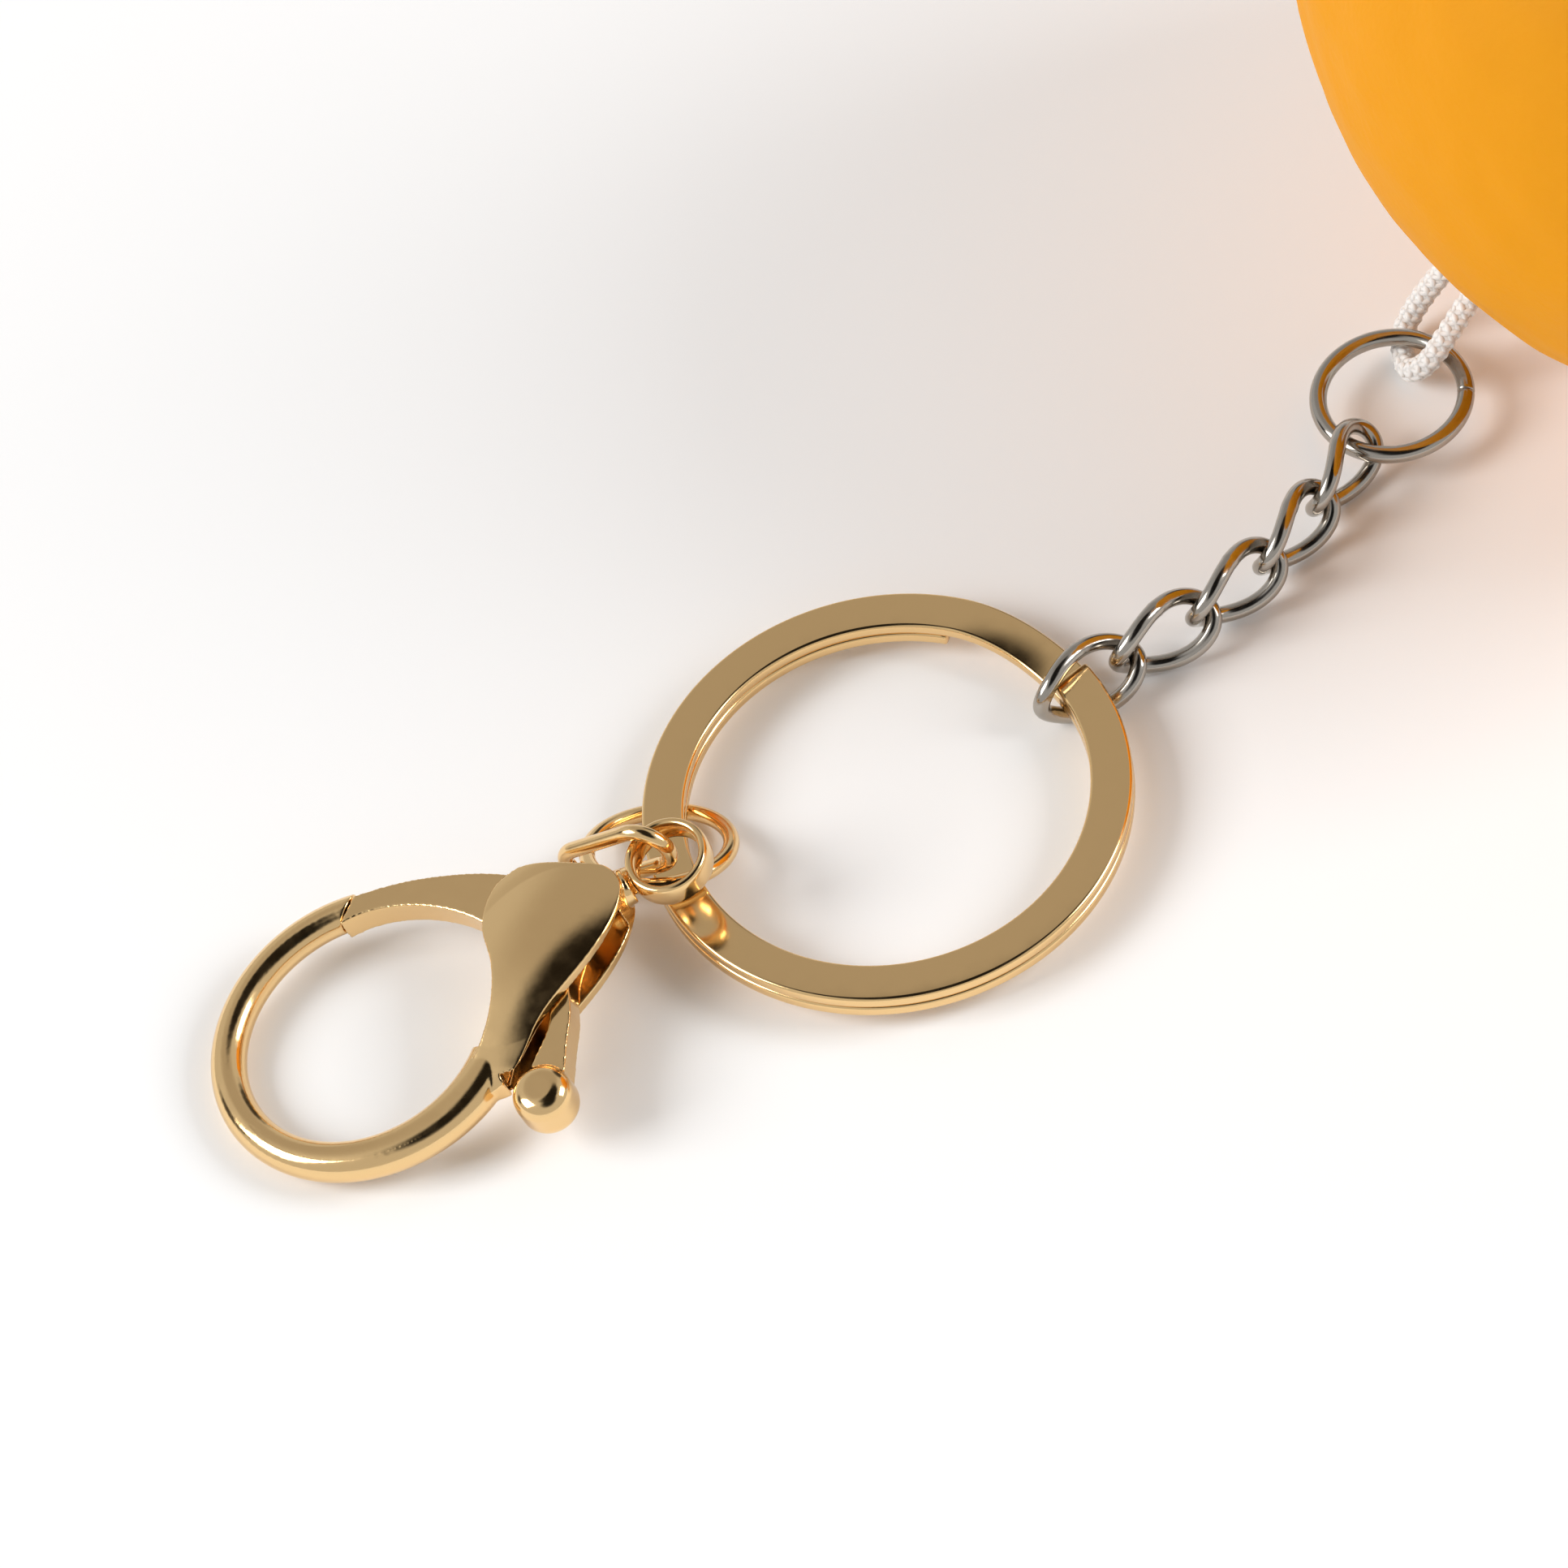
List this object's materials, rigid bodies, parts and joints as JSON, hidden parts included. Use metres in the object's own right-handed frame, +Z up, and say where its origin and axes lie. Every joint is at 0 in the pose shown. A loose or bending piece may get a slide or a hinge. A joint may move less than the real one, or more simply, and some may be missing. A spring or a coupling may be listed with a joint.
{
  "type": "keychain",
  "caption": "Gold keychain: flat split ring, lobster clasp on gold links, short silver curb chain, jump ring, and a soft round charm on a cord.",
  "frame": {"origin": "on the standing plane under the centre of the split ring", "axes": "+Z up, +X from the clasp towards the charm, +Y away from the side the gate's knob is on"},
  "size_m": [0.1422, 0.0768, 0.0627],
  "materials": {
    "silver_metal": "polished",
    "gold_metal": "polished",
    "spring_steel": "satin",
    "cord": "matte",
    "charm": "matte"
  },
  "bodies": {
    "ring": {"split_ring": "gold_metal"},
    "round_link": {"gold_round_link": "gold_metal"},
    "oval_link": {"gold_oval_link": "gold_metal"},
    "eye": {"swivel_eye": "gold_metal"},
    "clasp": {"clasp_body": "gold_metal", "gate_pin": "gold_metal", "gate_spring": "spring_steel"},
    "gate": {"gate_lever": "gold_metal"},
    "link_1": {"chain_link_1": "silver_metal"},
    "link_2": {"chain_link_2": "silver_metal"},
    "link_3": {"chain_link_3": "silver_metal"},
    "link_4": {"chain_link_4": "silver_metal"},
    "link_5": {"chain_link_5": "silver_metal"},
    "jump": {"jump_ring": "silver_metal"},
    "charm": {"cord_loop": "cord", "cord_knot": "cord", "charm_ball": "charm"}
  },
  "joints": [
    {"name": "round_link_slide", "type": "hinge", "parent": "ring", "child": "round_link", "pos_m": [0, 0, 0.00224], "axis": [0, 0, 1], "range_deg": [-60, 60]},
    {"name": "oval_link_swing", "type": "hinge", "parent": "round_link", "child": "oval_link", "pos_m": [-0.01833, -0.0002, 0.0033], "axis": [0.2482, -0.8982, 0.3629], "range_deg": [-6, 20]},
    {"name": "eye_swing", "type": "hinge", "parent": "oval_link", "child": "eye", "pos_m": [-0.01382, -0.00262, 0.00739], "axis": [-0.5264, 0.2918, 0.7986], "range_deg": [0, 30]},
    {"name": "clasp_swivel", "type": "hinge", "parent": "eye", "child": "clasp", "pos_m": [-0.01365, -0.0034, 0.0065], "axis": [-0.9584, -0.2213, -0.1805], "continuous": true},
    {"name": "gate_hinge", "type": "hinge", "parent": "clasp", "child": "gate", "pos_m": [-0.02176, -0.00589, 0.00495], "axis": [-0.1759, -0.0406, 0.9836], "range_deg": [0, 30], "stiffness_Nm_per_rad": 0.01, "springref_deg": -28.65},
    {"name": "chain_slide", "type": "hinge", "parent": "ring", "child": "link_1", "pos_m": [0, 0, 0.00224], "axis": [0, 0, 1], "range_deg": [-40, 20]},
    {"name": "link_2_swing", "type": "hinge", "parent": "link_1", "child": "link_2", "pos_m": [0.01629, 0.00584, 0.00247], "axis": [0, 0, 1], "range_deg": [-15, 15]},
    {"name": "link_3_swing", "type": "hinge", "parent": "link_2", "child": "link_3", "pos_m": [0.02139, 0.00775, 0.00273], "axis": [0, 0, 1], "range_deg": [-15, 15]},
    {"name": "link_4_swing", "type": "hinge", "parent": "link_3", "child": "link_4", "pos_m": [0.02616, 0.01034, 0.00283], "axis": [0, 0, 1], "range_deg": [-15, 15]},
    {"name": "link_5_swing", "type": "hinge", "parent": "link_4", "child": "link_5", "pos_m": [0.03039, 0.01374, 0.00273], "axis": [0, 0, 1], "range_deg": [-15, 15]},
    {"name": "jump_ring_swing", "type": "hinge", "parent": "link_5", "child": "jump", "pos_m": [0.03465, 0.01805, 0.00234], "axis": [0, 0, 1], "range_deg": [-10, 8]},
    {"name": "charm_slide", "type": "hinge", "parent": "jump", "child": "charm", "pos_m": [0.03665, 0.02045, 0.0024], "axis": [0, 0, 1], "range_deg": [-40, 40]}
  ]
}
